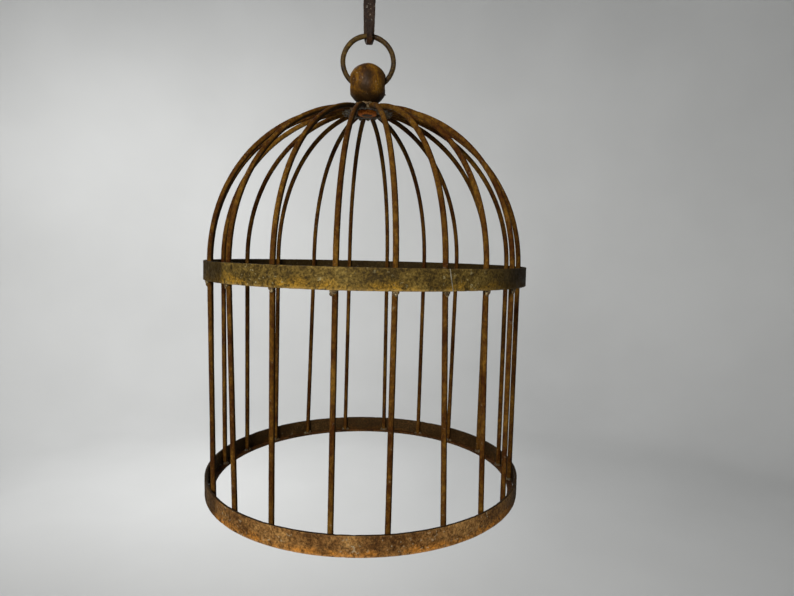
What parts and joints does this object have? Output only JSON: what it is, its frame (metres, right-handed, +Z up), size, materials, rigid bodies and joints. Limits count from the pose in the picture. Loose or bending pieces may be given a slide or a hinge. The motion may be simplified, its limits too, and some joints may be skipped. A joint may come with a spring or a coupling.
{
  "type": "hanging bird cage",
  "caption": "Domed rusty iron bird cage of round rods and flat hoops, open underneath, hanging by a ring through its drilled ball from the hooked end of a flat bar.",
  "frame": {"origin": "middle of the foot hoop's underside, on the hoops' axis, with the cage hanging straight", "axes": "+Z up along the cage's axis, -Y towards the side with the hook's lip, +X to the right seen from that side"},
  "size_m": [0.43, 0.43, 0.725],
  "materials": {
    "hanger_iron": "dark hammered iron",
    "ring_iron": "dark rusted iron",
    "ball_iron": "ochre rusted iron",
    "crown_iron": "rusted iron with grey slag",
    "nut_iron": "red rusted iron",
    "hoop_iron": "mottled rusted iron",
    "rod_iron": "brown rusted iron"
  },
  "bodies": {
    "hanger": {"hanger_hook": "hanger_iron"},
    "ring": {"lifting_ring": "ring_iron"},
    "cage": {"crown_ball": "ball_iron", "crown_stud": "crown_iron", "crown_plate": "crown_iron", "crown_nut": "nut_iron", "shoulder_hoop": "hoop_iron", "foot_hoop": "hoop_iron", "foot_ledge": "hoop_iron", "rod_01": "rod_iron", "rod_02": "rod_iron", "rod_03": "rod_iron", "rod_04": "rod_iron", "rod_05": "rod_iron", "rod_06": "rod_iron", "rod_07": "rod_iron", "rod_08": "rod_iron", "rod_09": "rod_iron", "rod_10": "rod_iron", "rod_11": "rod_iron", "rod_12": "rod_iron", "rod_13": "rod_iron", "rod_14": "rod_iron", "rod_15": "rod_iron", "rod_16": "rod_iron", "rod_17": "rod_iron", "rod_18": "rod_iron", "rod_19": "rod_iron", "rod_20": "rod_iron"}
  },
  "joints": [
    {"name": "ring_swing", "type": "hinge", "parent": "hanger", "child": "ring", "pos_m": [-0.004, 0, 0.609], "axis": [1, 0, 0], "range_deg": [-30, 30]},
    {"name": "cage_swing", "type": "hinge", "parent": "ring", "child": "cage", "pos_m": [-0.004, 0, 0.5452], "axis": [1, 0, 0], "range_deg": [-45, 45]}
  ]
}
